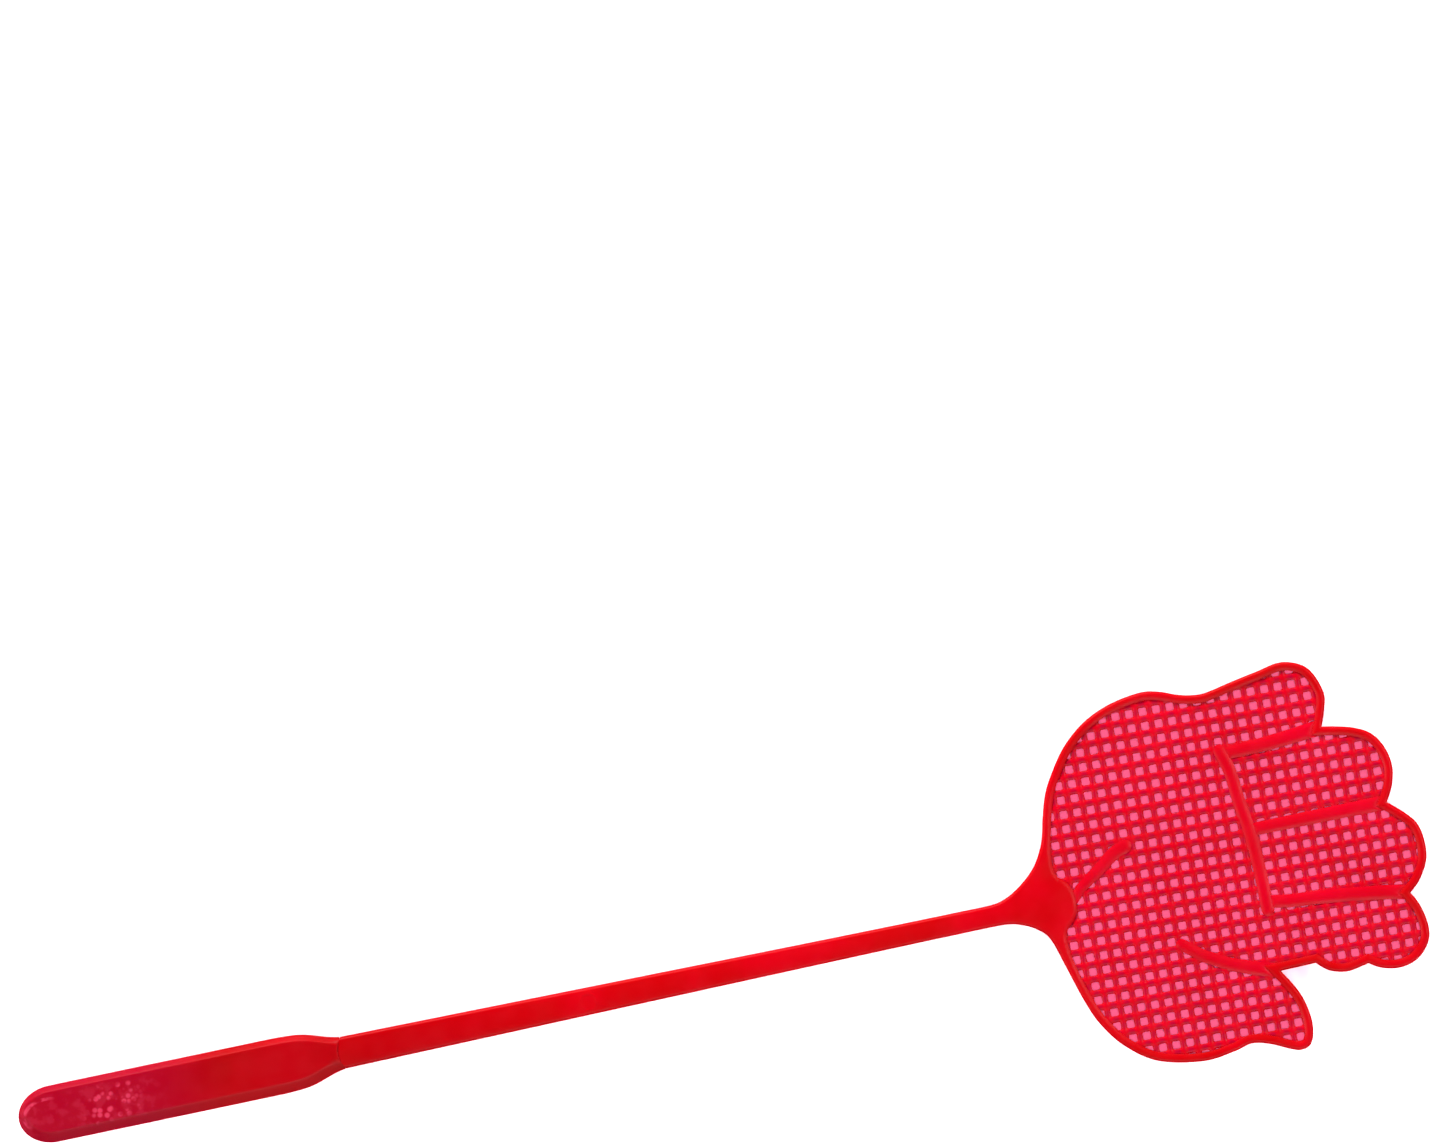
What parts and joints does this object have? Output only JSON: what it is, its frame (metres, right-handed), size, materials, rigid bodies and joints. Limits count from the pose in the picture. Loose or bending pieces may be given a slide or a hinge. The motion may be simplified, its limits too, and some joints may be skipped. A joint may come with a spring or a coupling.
{
  "type": "fly swatter",
  "caption": "Hand-shaped plastic fly swatter: an open mesh hand with raised rim and creases on a slim tapering shaft with a flat bevelled grip.",
  "frame": {"origin": "middle of the grip's flat back, on the shaft's axis", "axes": "+X along the shaft towards the fingertips, +Y across the hand towards the little finger, +Z out of the front face"},
  "size_m": [0.45, 0.1205, 0.0056],
  "materials": {
    "grip_plastic": "satin-gloss red, finely frosted near the butt",
    "shaft_plastic": "gloss red",
    "rim_plastic": "gloss red",
    "mesh_plastic": "gloss red, slightly translucent"
  },
  "bodies": {
    "handle": {"grip": "grip_plastic", "shaft": "shaft_plastic"},
    "hand": {"neck": "shaft_plastic", "hand_rim": "rim_plastic", "knuckle_crease": "rim_plastic", "little_ring_crease": "rim_plastic", "ring_middle_crease": "rim_plastic", "middle_index_crease": "rim_plastic", "thumb_crease": "rim_plastic", "palm_crease": "rim_plastic", "palm_web": "mesh_plastic", "thumb_web": "mesh_plastic", "index_finger_web": "mesh_plastic", "middle_finger_web": "mesh_plastic", "ring_finger_web": "mesh_plastic", "little_finger_web": "mesh_plastic"}
  },
  "joints": [
    {"name": "neck_flex", "type": "hinge", "parent": "handle", "child": "hand", "pos_m": [0.248, 0, 0.0016], "axis": [0, 1, 0], "range_deg": [-25, 25], "stiffness_Nm_per_rad": 0.3}
  ]
}
